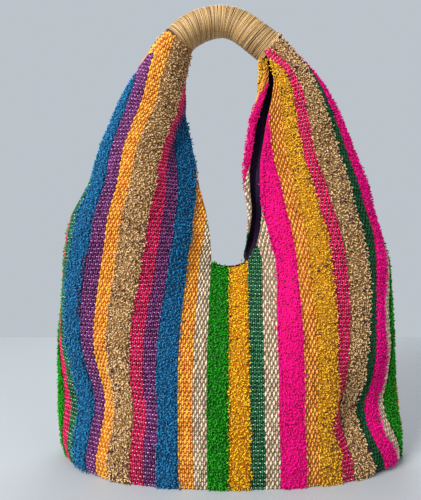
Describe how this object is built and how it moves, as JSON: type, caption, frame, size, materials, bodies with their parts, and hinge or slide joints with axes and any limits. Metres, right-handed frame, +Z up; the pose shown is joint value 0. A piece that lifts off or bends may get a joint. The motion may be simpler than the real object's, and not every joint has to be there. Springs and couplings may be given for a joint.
{
  "type": "woven striped shoulder bag",
  "caption": "Tall hand-woven hobo bag with flat and tufted lengthwise stripes, a deep U-shaped neckline and a short raffia-bound handle.",
  "frame": {"origin": "middle of the base's underside, on the surface that the bag stands on", "axes": "+Z up through the handle, +X to the right of someone looking at the front, so that -Y is the front"},
  "size_m": [0.4644, 0.206, 0.609],
  "materials": {
    "woven_cloth": "coarse flat weave and cut pile in many coloured stripes",
    "lining": "smooth dark purple cotton",
    "base_cloth": "plain dark purple cotton",
    "raffia": "close turns of dull natural raffia cord"
  },
  "bodies": {
    "root": {"front_panel": "woven_cloth", "back_panel": "woven_cloth", "lining_front": "lining", "lining_back": "lining", "base_panel": "base_cloth", "handle_wrap": "raffia"}
  },
  "joints": []
}
